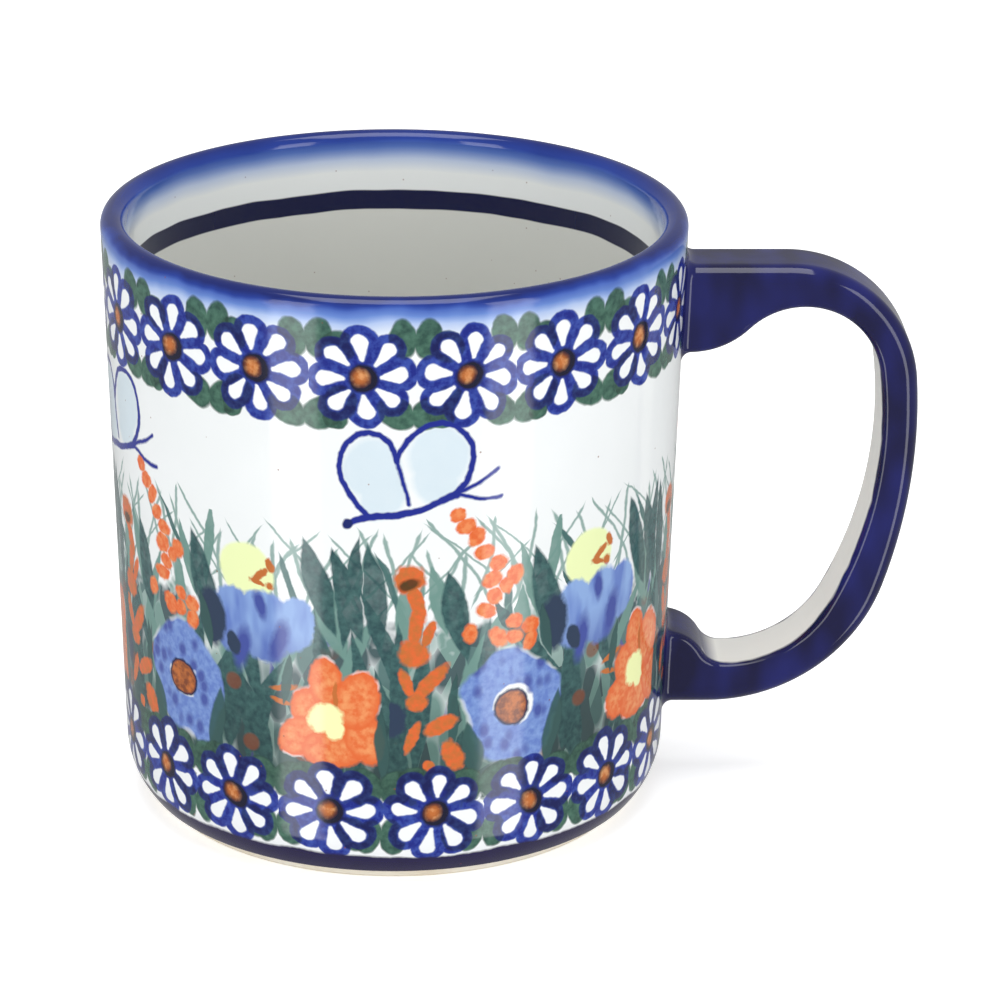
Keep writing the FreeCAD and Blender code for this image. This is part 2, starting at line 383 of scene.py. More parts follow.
def daisy_ring(wall, centres, count, height):
    """Eight-petalled daisies: bare white petals in cobalt outlines round a dark eye."""
    across, chance = wall.hand_spaced(centres, count)
    up = wall.math("SUBTRACT", wall.z, height)
    point = wall.combine(across, up)
    radius = wall.length(point)
    lean = wall.math("MULTIPLY_ADD", chance, 0.3, -0.15)
    angle = wall.math("ADD", wall.math("ARCTAN2", across, up), lean)
    angle = wall.math("WRAP", angle, math.pi / 8, -math.pi / 8)
    along = wall.math("MULTIPLY", radius, wall.math("COSINE", angle))
    aside = wall.math("MULTIPLY", radius, wall.math("SINE", angle))
    axis = wall.ramp(along, 2.9, 5.5, 2.9, 5.5)
    half = wall.ramp(along, 2.9, 5.5, 0.4, 1.28)
    reach = wall.length(wall.combine(wall.math("SUBTRACT", along, axis), aside))
    reach = wall.math("SUBTRACT", reach, half)
    outline = wall.math("ABSOLUTE", wall.math("SUBTRACT", reach, 0.66))
    tone = wall.mix(wall.ramp(wall.fleck_noise, 0.4, 0.75, 0.0, 0.7), LINE_BLUE, COBALT_LIGHT)
    tone = wall.mix(wall.ramp(outline, 0.3, 0.75, 0.0, 0.35), tone, COBALT_LIGHT)
    wall.cover(wall.inside(reach, 0.1, 0.2), WHITE)
    wall.brush(wall.inside(outline, 0.73, 0.12), tone, 0.3)
    core = wall.inside(wall.length(wall.local(point, (0.15, -0.1))), 2.2, 0.25)
    wall.cover(core, COBALT_DARK)
    spot = wall.length(wall.local(point, (-0.25, 0.05)))
    tone = wall.mix(wall.ramp(spot, 0.4, 1.5), RUST, BROWN)
    tone = wall.mix(wall.ramp(wall.fleck_noise, 0.45, 0.7, 0.0, 0.7), tone, EYE_LIGHT)
    wall.cover(wall.inside(spot, 1.3, 0.4), tone)


def leaf_dabs(wall, centres, count, pairs, others):
    """Green dabs in the gaps between daisies."""
    across, _ = wall.hand_spaced(centres, count, 0.5)
    tone = wall.mix(wall.ramp(wall.fleck_noise, 0.3, 0.7), DAB_DARK, DAB_GREEN)
    point = wall.combine(wall.math("ABSOLUTE", wall.math("ADD", across, 0.35)), wall.z)
    for dab in pairs:
        wall.brush(wall.inside(wall.dabs(point, [dab])), tone, 0.75)
    point = wall.combine(across, wall.z)
    for dab in others:
        wall.brush(wall.inside(wall.dabs(point, [dab])), tone, 0.6)


def rim_band(wall):
    """Airbrushed cobalt, dense on the lip and gone by the daisies."""
    fade = wall.math("MULTIPLY_ADD", wall.noise(wall.place, 0.12).outputs[0], 2.4, wall.height)
    wall.cover(wall.ramp(fade, 90.0, 93.8), RIM_PALE)
    wall.cover(wall.ramp(fade, 92.6, 95.2), RIM_BLUE)
    wall.cover(wall.ramp(fade, 94.6, 95.9), COBALT)


def butterfly(wall):
    """An outlined butterfly seen from the side, one to each length of meadow."""
    lower = wall.ramp(wall.u, -30.0, -36.0)
    across = wall.math("WRAP", wall.math("MULTIPLY_ADD", lower, 2.2, wall.u), MEADOW_WIDTH - 24.0, -24.0)
    point = wall.combine(across, wall.math("MULTIPLY_ADD", lower, 1.2, wall.z))
    from_handle = wall.math("ABSOLUTE", wall.math("SUBTRACT", wall.u, HANDLE_U))
    clear = wall.math("GREATER_THAN", from_handle, HANDLE_CLEARANCE)
    wings = [
        (-2.2, 69.0, 4.6, 4.8, 0.0),
        (8.0, 70.6, 4.6, 5.0, 0.0),
        (-0.5, 64.8, 3.0, 4.2, -35.0),
        (7.5, 67.0, 3.6, 3.6, 0.0),
    ]
    wall.wash(wall.math("MULTIPLY", wall.inside(wall.dabs(point, wings), 1.0, 0.15), clear), WING)
    corners = [
        (-2.6, 61.4), (-4.3, 63.0), (-5.7, 65.2), (-6.7, 67.4), (-7.2, 69.6), (-7.0, 71.6), (-6.0, 73.2),
        (-4.5, 74.2), (-2.7, 74.5), (-0.9, 74.1), (0.5, 73.0), (1.4, 71.6), (1.8, 70.0), (2.3, 71.6),
        (3.3, 73.4), (4.8, 74.9), (6.6, 75.8), (8.5, 76.0), (10.3, 75.4), (11.7, 74.1), (12.7, 72.4),
        (13.0, 70.4), (12.8, 68.4), (12.0, 66.5), (10.4, 64.8),
    ]
    outline = wall.strokes(point, list(zip(corners, corners[1:])))
    wall.cover(wall.math("MULTIPLY", wall.inside(outline, 0.46, 0.14), clear), LINE_BLUE)
    spine = [(-6.2, 60.1), (-3.0, 61.1), (4.5, 62.6), (10.4, 64.7)]
    body = wall.strokes(point, list(zip(spine, spine[1:])))
    wall.cover(wall.math("MULTIPLY", wall.inside(body, 0.55, 0.14), clear), LINE_BLUE)
    feelers = wall.strokes(
        point,
        [
            ((10.4, 64.8), (14.0, 66.3)), ((14.0, 66.3), (16.9, 68.3)),
            ((10.4, 64.8), (14.0, 63.9)), ((14.0, 63.9), (17.7, 63.8)), ((1.8, 70.0), (3.2, 63.6)),
        ],
    )
    wall.cover(wall.math("MULTIPLY", wall.inside(feelers, 0.32, 0.16), clear), LINE_BLUE)
    tail = wall.inside(wall.dabs(point, [(-6.0, 60.2, 0.9, 0.8, 0.0)]), 1.0, 0.2)
    wall.cover(wall.math("MULTIPLY", tail, clear), COBALT)


def blade_field(wall, count, shift, lean, base, tip, half_wide, belly, pigment):
    """Leaning blades round the wall, each of its own height and bend. A small belly makes them pointed."""
    up = wall.math("SUBTRACT", wall.z, base)
    slanted = wall.math("MULTIPLY_ADD", up, -lean, wall.u)
    across, chance = wall.repeat(count, shift, slanted)
    bend = wall.math("MULTIPLY_ADD", chance, 0.04, -0.02)
    across = wall.math("MULTIPLY_ADD", wall.math("MULTIPLY", up, up), bend, across)
    top = wall.math("MULTIPLY_ADD", chance, (tip - base) * 0.45, (tip - base) * 0.55)
    share = wall.math("DIVIDE", up, top)
    taper = wall.math("MULTIPLY", wall.math("SUBTRACT", 1.0, share), half_wide * belly)
    half = wall.math("MINIMUM", taper, wall.math("MULTIPLY", share, half_wide * belly))
    half = wall.math("MINIMUM", half, half_wide)
    edge = wall.math("SUBTRACT", wall.math("ABSOLUTE", across), half)
    wall.cover(wall.math("MULTIPLY", wall.ramp(edge, 0.14, -0.14), wall.wash_noise), pigment)


def undergrowth(wall):
    """Short overlapping dabs of greens and blues behind the flowers, ragged at the top."""
    dabs = wall.cells(wall.vector("MULTIPLY", wall.place, (0.66, 0.66, 0.3)), 0.62)
    ragged = wall.noise(wall.place, 0.16, 3.0, 0.6).outputs[0]
    top = wall.math("MULTIPLY_ADD", ragged, -22.0, wall.z)
    chance = wall.add("SeparateColor", dabs.outputs["Color"]).outputs[0]
    palette = wall.add("ValToRGB")
    palette.color_ramp.interpolation = "CONSTANT"
    tones = [
        (0.0, GRASS), (0.07, LEAF_LIGHT), (0.3, LEAF), (0.62, LEAF_DARK), (0.9, SHADE_BLUE), (0.95, GRASS),
    ]
    while len(palette.color_ramp.elements) < len(tones):
        palette.color_ramp.elements.new(0.5)
    for element, (stop, tone) in zip(palette.color_ramp.elements, tones):
        element.position = stop
        element.color = tone
    wall.feed(palette.inputs[0], chance)
    edge = wall.ramp(dabs.outputs["Distance"], 0.95, 0.6, 0.35, 0.95)
    wall.cover(wall.math("MULTIPLY", wall.ramp(top, 33.5, 30.5), edge), palette.outputs["Color"])
    wall.wash(wall.ramp(top, 26.0, 14.0, 0.0, 0.35), LEAF_LIGHT)


def leaves(wall, point):
    """The broad leaves of one length of meadow."""
    dark = [
        ((9.3, 52.5), (12.3, 38.0), 2.0), ((23.6, 55.0), (27.8, 38.0), 2.3),
        ((43.4, 57.5), (48.8, 42.0), 2.1), ((48.3, 56.5), (53.0, 41.0), 2.0),
        ((54.0, 57.0), (55.6, 39.0), 1.8), ((52.6, 58.0), (49.8, 40.0), 1.6),
        ((31.5, 38.5), (30.0, 20.0), 2.6), ((1.8, 44.0), (2.6, 22.0), 1.6),
    ]
    light = [
        ((27.9, 60.0), (26.2, 46.0), 1.0), ((7.0, 53.5), (9.4, 42.0), 1.4),
        ((46.2, 51.5), (50.0, 38.0), 2.4), ((20.8, 56.0), (24.0, 44.0), 1.0),
        ((3.2, 51.0), (2.4, 40.0), 1.5), ((12.0, 38.0), (14.5, 20.0), 1.8),
    ]
    tone = wall.mix(wall.ramp(wall.fleck_noise, 0.3, 0.75), LEAF_DARK, LEAF)
    for group, pigment in ((light, LEAF_LIGHT), (dark, tone)):
        nearest = None
        for tip, base, half_wide in group:
            reach = wall.leaf(point, tip, base, half_wide)
            nearest = reach if nearest is None else wall.math("MINIMUM", nearest, reach)
        wall.cover(wall.math("MULTIPLY", wall.inside(nearest, 1.0, 0.1), wall.wash_noise), pigment)


def lobed(wall, point, centre, size, lobes, depth, angle):
    """1 at the edge of an oval flower with rounded lobes."""
    near = wall.local(point, centre, size, angle)
    turn = wall.math("ARCTAN2", wall.along(near, (0.0, 1.0, 0.0)), wall.along(near, (1.0, 0.0, 0.0)))
    wave = wall.math("COSINE", wall.math("MULTIPLY", turn, float(lobes)))
    edge = wall.math("MULTIPLY_ADD", wave, depth, 1.0 - depth)
    return wall.math("DIVIDE", wall.length(near), edge)


def aster(wall, point):
    reach = lobed(wall, point, (20.2, 29.2), (8.6, 10.2), 5, 0.06, 18.0)
    drift = wall.noise(wall.place, 0.2, 1.0).outputs[0]
    reach = wall.math("MULTIPLY_ADD", drift, 0.4, wall.math("SUBTRACT", reach, 0.2))
    left_bare = wall.ramp(drift, 0.5, 0.58)
    wall.cover(wall.math("MULTIPLY", wall.inside(reach, 1.03, 0.06), left_bare), WHITE)
    spots = wall.cells(wall.vector("MULTIPLY", wall.place, (1.0, 1.0, 0.7)), 0.42).outputs["Distance"]
    tone = wall.mix(wall.ramp(wall.fleck_noise, 0.35, 0.75, 0.0, 0.7), ASTER, TULIP_LIGHT)
    tone = wall.mix(wall.ramp(spots, 0.46, 0.2, 0.0, 0.9), tone, ASTER_DARK)
    wall.cover(wall.inside(reach, 1.0, 0.04), tone)
    halo = wall.dabs(point, [(20.5, 29.5, 3.4, 3.3, 0.0)])
    wall.cover(wall.math("MULTIPLY", wall.inside(halo, 1.0, 0.05), wall.ramp(drift, 0.45, 0.5)), WHITE)
    eye = wall.ragged(wall.dabs(point, [(20.2, 29.2, 3.0, 3.0, 0.0)]), 0.12)
    wall.cover(wall.inside(eye, 1.0, 0.06), NAVY)
    wall.cover(wall.inside(eye, 0.86, 0.06), wall.mix(wall.ramp(wall.fleck_noise, 0.36, 0.64), BROWN, RUST))


def tulip(wall, point):
    disc = wall.dabs(point, [(34.0, 50.6, 4.7, 4.7, 0.0)])
    wall.cover(wall.inside(disc, 1.0, 0.06), YELLOW)
    blot = wall.dabs(
        point,
        [
            (36.4, 50.6, 2.0, 0.6, 35.0), (38.3, 52.0, 0.7, 1.2, 20.0),
            (35.8, 49.4, 1.3, 0.5, -20.0), (37.8, 49.0, 0.8, 0.8, 0.0),
        ],
    )
    wall.cover(wall.inside(wall.ragged(blot, 1.2), 0.95, 0.2), RUST)
    petals = [(31.4, 42.0, 4.4, 5.6, 6.0), (37.0, 42.0, 5.0, 6.0, 0.0), (41.8, 43.0, 3.4, 4.8, -14.0)]
    cup = wall.dabs(point, petals)
    soft = wall.noise(wall.vector("MULTIPLY", wall.place, (1.0, 1.0, 0.35)), 0.3, 2.0).outputs[0]
    tone = wall.mix(wall.ramp(soft, 0.4, 0.65), TULIP_LIGHT, ASTER)
    tone = wall.mix(wall.ramp(wall.z, 42.0, 36.0, 0.0, 0.5), tone, ASTER_DARK)
    wall.cover(wall.inside(wall.ragged(cup, 0.2), 1.0, 0.07), tone)
    folds = [(33.0, 37.6, 1.4, 3.6, -6.0), (39.6, 40.0, 1.3, 3.6, -12.0), (36.2, 45.4, 0.9, 2.2, 12.0)]
    shade = wall.dabs(point, folds)
    wall.cover(wall.inside(wall.ragged(shade, 0.3), 1.0, 0.35), ASTER_DARK)
    lobe = wall.dabs(point, [(27.2, 41.6, 2.6, 4.6, 4.0), (31.4, 38.2, 1.2, 2.2, 20.0)])
    wall.cover(wall.inside(wall.ragged(lobe, 0.3), 1.0, 0.14), SHADE_TEAL)


def poppy(wall, point):
    petals = (
        (44.4, 29.6, 3.0, 3.8, 20.0), (42.8, 25.0, 4.0, 3.3, 34.0), (48.0, 23.0, 5.0, 3.2, 0.0),
        (53.0, 25.4, 3.2, 4.6, 12.0), (46.9, 34.0, 2.7, 4.2, 6.0), (51.8, 31.6, 3.7, 4.8, -12.0),
    )
    middle = wall.dabs(point, [(47.6, 28.0, 5.0, 5.0, 0.0)])
    around_all = wall.ragged(wall.math("MINIMUM", wall.dabs(point, petals), middle), 0.16)
    drift = wall.noise(wall.place, 0.25, 1.0).outputs[0]
    left_bare = wall.ramp(drift, 0.5, 0.58)
    wall.cover(wall.math("MULTIPLY", wall.inside(around_all, 1.05, 0.07), left_bare), WHITE)
    tone = wall.mix(wall.ramp(wall.fleck_noise, 0.35, 0.7, 0.1, 0.9), ORANGE, ORANGE_LIGHT)
    wall.cover(wall.inside(middle, 1.0, 0.06), tone)
    for petal in petals:
        reach = wall.ragged(wall.dabs(point, [petal]), 0.2)
        wall.cover(wall.inside(reach, 1.0, 0.07), wall.mix(wall.ramp(reach, 0.6, 0.98), tone, ORANGE))
    strokes = [(40.4, 32.8, 2.2, 0.5, 15.0), (39.8, 30.4, 1.7, 0.45, -8.0), (48.6, 32.0, 0.4, 2.6, 4.0)]
    wall.cover(wall.inside(wall.ragged(wall.dabs(point, strokes), 0.6), 1.0, 0.2), RUST)
    heart = wall.dabs(point, [(47.0, 28.4, 2.8, 2.4, 20.0), (48.4, 26.8, 1.4, 2.0, 0.0)])
    wall.cover(wall.inside(wall.ragged(heart, 0.5), 1.0, 0.14), CREAM_YELLOW)


def front_leaves(wall, point):
    """A few dark strokes brushed over the edges of the flowers."""
    blades = (
        ((12.4, 28.0), (14.4, 18.0), 1.6), ((28.4, 30.0), (26.6, 18.0), 1.5),
        ((10.6, 36.0), (10.0, 22.0), 0.8), ((24.8, 45.0), (26.8, 36.0), 1.1),
        ((41.4, 38.0), (40.2, 30.0), 0.8), ((55.6, 30.0), (55.9, 18.0), 1.1),
    )
    for tip, base, half_wide in blades:
        wall.brush(wall.inside(wall.leaf(point, tip, base, half_wide), 1.0, 0.14), LEAF, 0.6)


def foxglove(wall, point):
    """A winding stalk of loose orange brush dabs."""
    dabs = [
        (3.6, 51.6, 2.6, 2.4, 0.0), (4.8, 47.6, 1.2, 3.4, 16.0), (4.5, 43.8, 1.1, 3.0, -8.0),
        (4.2, 39.6, 2.4, 2.3, 0.0), (6.6, 42.6, 0.9, 2.2, -25.0), (3.2, 34.6, 1.0, 2.6, 22.0),
        (6.8, 34.4, 1.2, 4.0, -38.0), (4.9, 31.2, 1.8, 1.5, 0.0), (8.4, 27.4, 2.9, 1.2, 32.0),
        (4.2, 25.4, 0.9, 2.8, -24.0), (10.4, 22.6, 1.6, 2.6, 26.0), (6.6, 20.8, 1.0, 1.0, 0.0),
    ]
    tone = wall.mix(wall.ramp(wall.fleck_noise, 0.3, 0.66), ORANGE, RUST)
    wall.cover(wall.inside(wall.ragged(wall.dabs(point, dabs), 0.45), 1.0, 0.14), tone)
    throat = wall.dabs(point, [(3.6, 50.6, 1.6, 0.9, 15.0)])
    wall.wash(wall.inside(wall.ragged(throat, 0.5), 1.0, 0.3), LEAF_LIGHT)
    blot = wall.dabs(point, [(1.0, 28.4, 2.3, 2.8, 0.0)])
    wall.cover(wall.inside(wall.ragged(blot, 0.6), 1.0, 0.12), SHADE_TEAL)


def spire(wall, point):
    """Loose orange dots climbing to a point."""
    dots = [
        (10.7, 61.6), (12.1, 59.6), (13.7, 57.7), (14.9, 55.0), (17.0, 53.0), (16.4, 50.6),
        (18.8, 49.4), (20.2, 50.8), (15.8, 45.6), (17.0, 47.8), (13.1, 42.3), (17.6, 41.2),
        (20.3, 43.6), (22.8, 42.4), (22.7, 39.8), (20.0, 41.0),
    ]
    shapes = []
    for n, (u, z) in enumerate(dots):
        shapes.append((u, z, 1.3 + 0.25 * (n % 3), 1.2 + 0.2 * (n % 2), 35.0 * (n % 4)))
    tone = wall.mix(wall.ramp(wall.fleck_noise, 0.36, 0.66, 0.0, 0.6), ORANGE, ORANGE_LIGHT)
    wall.cover(wall.inside(wall.ragged(wall.dabs(point, shapes), 0.5), 1.0, 0.14), tone)


def berries(wall):
    """Small rust dots scattered low in the meadow."""
    spots = wall.cells(wall.place, 0.2)
    chance = wall.add("SeparateColor", spots.outputs["Color"]).outputs[1]
    near = wall.inside(spots.outputs["Distance"], 0.3, 0.04)
    near = wall.math("MULTIPLY", near, wall.math("GREATER_THAN", chance, 0.4))
    near = wall.math("MULTIPLY", near, wall.ramp(wall.z, 40.0, 36.0, 0.0, 0.7))
    wall.cover(near, BROWN)


def grass(wall):
    """Thin blades that cross each other over the white wall."""
    for count, shift, lean, base, tip, half_wide in (
        (43, 0.0, 0.45, 46.0, 62.5, 0.3),
        (41, 3.0, -0.5, 46.0, 62.5, 0.32),
        (33, 5.0, 1.0, 48.0, 61.0, 0.26),
        (31, 1.0, -0.9, 48.0, 61.0, 0.26),
        (29, 2.0, -0.1, 44.0, 62.0, 0.34),
    ):
        blade_field(wall, count, shift, lean, base, tip, half_wide, 12.0, GRASS)
    blade_field(wall, 17, 4.0, -0.3, 40.0, 59.0, 0.6, 6.0, LEAF)


def glazed(wall):
    """The clear glaze over a painting: a hard gloss, a faint ripple and iron specks from the clay."""
    specks = wall.cells(wall.place, 0.3)
    chance = wall.add("SeparateColor", specks.outputs["Color"]).outputs[0]
    speck = wall.ramp(specks.outputs["Distance"], 0.06, 0.03, 0.0, 0.7)
    speck = wall.math("MULTIPLY", speck, wall.math("GREATER_THAN", chance, 0.6))
    wall.cover(speck, BROWN)
    ripple = wall.noise(wall.place, 0.22, 2.0).outputs[0]
    return wall.surface(wall.colour, 0.12, bump=ripple, bump_mm=0.03)


def upper_wall():
    wall = Painting("painted_wall_upper")
    rim_band(wall)
    leaf_dabs(wall, UPPER_DAISIES, UPPER_DAISY_COUNT, UPPER_PAIRS, UPPER_OTHERS)
    daisy_ring(wall, UPPER_DAISIES, UPPER_DAISY_COUNT, UPPER_DAISY_HEIGHT)
    grass(wall)
    point = wall.combine(wall.math("WRAP", wall.u, MEADOW_START + MEADOW_WIDTH, MEADOW_START), wall.z)
    spire(wall, point)
    butterfly(wall)
    return glazed(wall)


def lower_wall():
    wall = Painting("painted_wall_lower")
    point = wall.combine(wall.math("WRAP", wall.u, MEADOW_START + MEADOW_WIDTH, MEADOW_START), wall.z)
    undergrowth(wall)
    grass(wall)
    tone = wall.mix(wall.ramp(wall.fleck_noise, 0.3, 0.7), LEAF, LEAF_DARK)
    blade_field(wall, 29, 1.0, 0.3, 30.0, 57.0, 1.3, 2.6, LEAF_LIGHT)
    blade_field(wall, 23, 5.0, -0.3, 26.0, 56.0, 1.5, 2.6, tone)
    blade_field(wall, 31, 4.0, 0.15, 18.0, 48.0, 1.8, 2.6, tone)
    blade_field(wall, 27, 2.0, -0.1, 14.0, 42.0, 2.2, 3.0, tone)
    leaves(wall, point)
    wall.wash(wall.ramp(wall.z, 36.0, 18.0, 0.0, 0.5), LEAF_LIGHT)
    berries(wall)
    tulip(wall, point)
    aster(wall, point)
    poppy(wall, point)
    front_leaves(wall, point)
    foxglove(wall, point)
    spire(wall, point)
    wall.cover(wall.ramp(wall.math("MULTIPLY_ADD", wall.fleck_noise, 8.0, wall.z), 20.0, 18.0), WHITE)
    leaf_dabs(wall, LOWER_DAISIES, LOWER_DAISY_COUNT, LOWER_PAIRS, LOWER_OTHERS)
    daisy_ring(wall, LOWER_DAISIES, LOWER_DAISY_COUNT, LOWER_DAISY_HEIGHT)
    wall.cover(wall.ramp(wall.z, 5.6, 5.1), FOOT_BAND)
    return glazed(wall)


def inside_paint():
    """White glaze inside, with the rim's fade, one cobalt line and specks of iron. Below the line the white
    is greyer: painted shade deep in the cup.
    """
    g = Graph("inside_paint")
    place = g.position()
    _, _, z = g.add("SeparateXYZ", place).outputs
    wander = g.noise(place, 0.05, 2.0).outputs[0]
    height = g.math("MULTIPLY_ADD", wander, 1.6, z)
    # Greyer below the cobalt line: painted shade inside the cup.
    tone = g.mix(g.ramp(height, 85.0, 83.0), INSIDE_PALE, INSIDE_PAINTED_SHADE)
    specks = g.cells(place, 0.55)
    chance = g.add("SeparateColor", specks.outputs["Color"]).outputs[0]
    speck = g.ramp(specks.outputs["Distance"], 0.1, 0.05, 0.0, 0.5)
    speck = g.math("MULTIPLY", speck, g.math("GREATER_THAN", chance, 0.75))
    tone = g.mix(speck, tone, BROWN)
    tone = g.mix(g.ramp(height, 89.4, 93.4), tone, RIM_PALE)
    tone = g.mix(g.ramp(height, 91.4, 94.6), tone, RIM_BLUE)
    tone = g.mix(g.ramp(height, 94.2, 96.0), tone, COBALT)
    line = g.math("ABSOLUTE", g.math("SUBTRACT", height, 84.7))
    tone = g.mix(g.ramp(line, 1.7, 1.5), tone, NAVY)
    ripple = g.noise(place, 0.25, 2.0).outputs[0]
    return g.surface(tone, 0.1, bump=ripple, bump_mm=0.03)


def handle_paint():
    """Deep cobalt that breaks lighter, with bare cream on the face towards the hole."""
    g = Graph("handle_paint")
    place = g.position()
    x, y, _ = g.add("SeparateXYZ", place).outputs
    streaks = g.noise(g.vector("MULTIPLY", place, (1.0, 1.0, 0.5)), 0.16, 1.0).outputs[0]
    tone = g.mix(g.ramp(streaks, 0.38, 0.68), colour(14, 14, 58), colour(24, 28, 94))
    normal = g.add("NewGeometry").outputs["Normal"]
    inward = g.vector("SUBTRACT", HANDLE_HOLE_CENTRE, place)
    inward = g.vector("NORMALIZE", g.vector("MULTIPLY", inward, (1.0, 0.0, 1.0)))
    facing = g.add("VectorMath", normal, inward, operation="DOT_PRODUCT").outputs["Value"]
    side = g.math("MULTIPLY_ADD", g.noise(place, 0.2, 1.0).outputs[0], 1.6, g.math("ABSOLUTE", y))
    bare = g.math("MULTIPLY", g.ramp(facing, 0.2, 0.4), g.ramp(side, 5.9, 5.2))
    bare = g.math("MULTIPLY", bare, g.ramp(x, 49.0, 51.5))
    tone = g.mix(bare, tone, colour(244, 243, 236))
    ripple = g.noise(place, 0.18, 2.0).outputs[0]
    return g.surface(tone, 0.07, bump=ripple, bump_mm=0.05)


def clay_paint(name, tone, roughness):
    g = Graph(name)
    place = g.position()
    grain = g.noise(place, 2.5, 4.0, 0.7).outputs[0]
    cloud = g.noise(place, 0.1, 2.0).outputs[0]
    base = g.mix(g.ramp(cloud, 0.35, 0.7), tone, colour(238, 228, 208))
    base = g.mix(g.ramp(grain, 0.68, 0.76, 0.0, 0.35), base, colour(170, 136, 104))
    rough = g.ramp(grain, 0.3, 0.7, roughness - 0.06, roughness + 0.06)
    return g.surface(base, rough, bump=grain, bump_mm=0.05)


def floor_paint():
    """A pale floor that looks lit from below, as the table under a product photo is."""
    g = Graph("floor_paint")
    seen = g.add("LightPath").outputs["Is Camera Ray"]
    material = g.surface(colour(250, 250, 250), 0.6)
    shader = material.node_tree.nodes["Principled BSDF"]
    shader.inputs["Emission Color"].default_value = (1.0, 1.0, 1.0, 1.0)
    g.feed(shader.inputs["Emission Strength"], g.ramp(seen, 0.0, 1.0, FLOOR_GLOW, FLOOR_LOOK))
    return material


def arc_points(centre, radius, start, end, steps):
    """Points on an arc about (radius, height), from one angle in radians to another."""
    angles = [start + (end - start) * n / steps for n in range(steps + 1)]
    return [(centre[0] + radius * math.cos(a), centre[1] + radius * math.sin(a)) for a in angles]


def outer_line(depth):
    """The wall from the glaze line up to the top of the lip, depth under the glaze's surface."""
    foot = (RIM_RADIUS - OUTER_NARROWING - FOOT_CURVE_RADIUS, FOOT_CURVE_HEIGHT)
    foot_radius = FOOT_CURVE_RADIUS - depth
    low = math.asin((GLAZE_LINE_HEIGHT - foot[1]) / foot_radius)
    points = arc_points(foot, foot_radius, low, -OUTER_LEAN, 10)
    lip = arc_points((LIP_CENTRE, LIP_HEIGHT), LIP_RADIUS - depth, -OUTER_LEAN, math.pi / 2, 24)
    share = (PAINT_SPLIT_HEIGHT - points[-1][1]) / (lip[0][1] - points[-1][1])
    split = points[-1][0] + (lip[0][0] - points[-1][0]) * share
    return points + [(split, PAINT_SPLIT_HEIGHT)] + lip


def inner_line(depth):
    """The inside from the top of the lip down to the middle of the floor."""
    lip = arc_points((LIP_CENTRE, LIP_HEIGHT), LIP_RADIUS - depth, math.pi / 2, math.pi - INNER_LEAN, 24)
    corner_height = FLOOR_HEIGHT + FLOOR_CORNER_RADIUS
    wall = LIP_CENTRE - LIP_RADIUS - INNER_LEAN * (LIP_HEIGHT - corner_height)
    corner = (wall - FLOOR_CORNER_RADIUS, corner_height)
    return lip + arc_points(corner, FLOOR_CORNER_RADIUS + depth, -INNER_LEAN, -math.pi / 2, 24) + [
        (0.0, FLOOR_HEIGHT - depth)
    ]


def lathe(name, outline):
    """A closed solid turned round the z axis from a closed outline of (radius, height)."""
    mesh = bpy.data.meshes.new(name)
    shape = bmesh.new()
    rings = []
    for radius, height in outline:
        ring = []
        for n in range(TURNS):
            angle = 2 * math.pi * n / TURNS
            x = radius * math.cos(angle) * MM
            y = radius * math.sin(angle) * MM
            ring.append(shape.verts.new((x, y, height * MM)))
        rings.append(ring)
    for lower, upper in zip(rings, rings[1:] + rings[:1]):
        for n in range(TURNS):
            after = (n + 1) % TURNS
            shape.faces.new((lower[n], lower[after], upper[after], upper[n]))
    bmesh.ops.remove_doubles(shape, verts=shape.verts, dist=0.0001 * MM)
    bmesh.ops.recalc_face_normals(shape, faces=shape.faces)
    for face in shape.faces:
        face.smooth = True
    shape.to_mesh(mesh)
    shape.free()
    mesh.set_sharp_from_angle(angle=math.radians(35))
    piece = bpy.data.objects.new(name, mesh)
    bpy.context.scene.collection.objects.link(piece)
    return piece


def unwrap(piece, outline, seen):
    """Two half turns of the seen side, one above the other, and the hidden side along the bottom edge."""
    layer = piece.data.uv_layers.new(name="OFBake")
    lengths = [0.0]
    for first, second in zip(outline[:seen], outline[1:seen]):
        lengths.append(lengths[-1] + math.dist(first, second))
    rings = {}
    for (radius, height), run in zip(outline[:seen], lengths):
        rings[(round(radius, 2), round(height, 2))] = run / lengths[-1]
    for face in piece.data.polygons:
        corners = [piece.data.vertices[n].co / MM for n in face.vertices]
        runs = [rings.get((round(math.hypot(c.x, c.y), 2), round(c.z, 2))) for c in corners]
        middle = math.atan2(face.center.y, face.center.x)
        start = math.pi * (middle < 0)
        for loop, corner, run in zip(face.loop_indices, corners, runs):
            turn = (math.atan2(corner.y, corner.x) - middle + math.pi) % (2 * math.pi) - math.pi
            share = (middle + turn + start) / math.pi
            if None in runs:
                layer.data[loop].uv = (share, 0.002 + 0.016 * (run or 0.0))
            else:
                layer.data[loop].uv = (0.004 + 0.992 * share, (0.03 if start else 0.52) + 0.47 * run)


def glaze_coat(name, node, line, materials):
    """One glaze coat, a shell between its surface and the clay, in place of its CAD node."""
    seen = line(0.0)
    outline = seen + line(GLAZE)[::-1]
    piece = lathe(name, outline)
    for material in materials:
        piece.data.materials.append(material)
    unwrap(piece, outline, len(seen))
    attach(piece, "root")
    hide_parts(node)
    return piece


def repaint(frame, node, material):
    """A CAD node that stays in view, with its finish."""
    piece = frame["nodes"][node]
    piece.data.materials.clear()
    piece.data.materials.append(material)


def aim(thing, place, target):
    """Puts a light or camera at place, looking at target, in metres."""
    away = Vector(place) - Vector(target)
    thing.matrix_world = Matrix.Translation(place) @ away.to_track_quat("Z", "Y").to_matrix().to_4x4()


def around(azimuth, elevation, distance, target):
    """The point distance from target, at an azimuth from -Y towards +X."""
    turn = math.radians(azimuth)
    rise = math.radians(elevation)
    way = Vector((math.sin(turn) * math.cos(rise), -math.cos(turn) * math.cos(rise), math.sin(rise)))
    return Vector(target) + way * distance


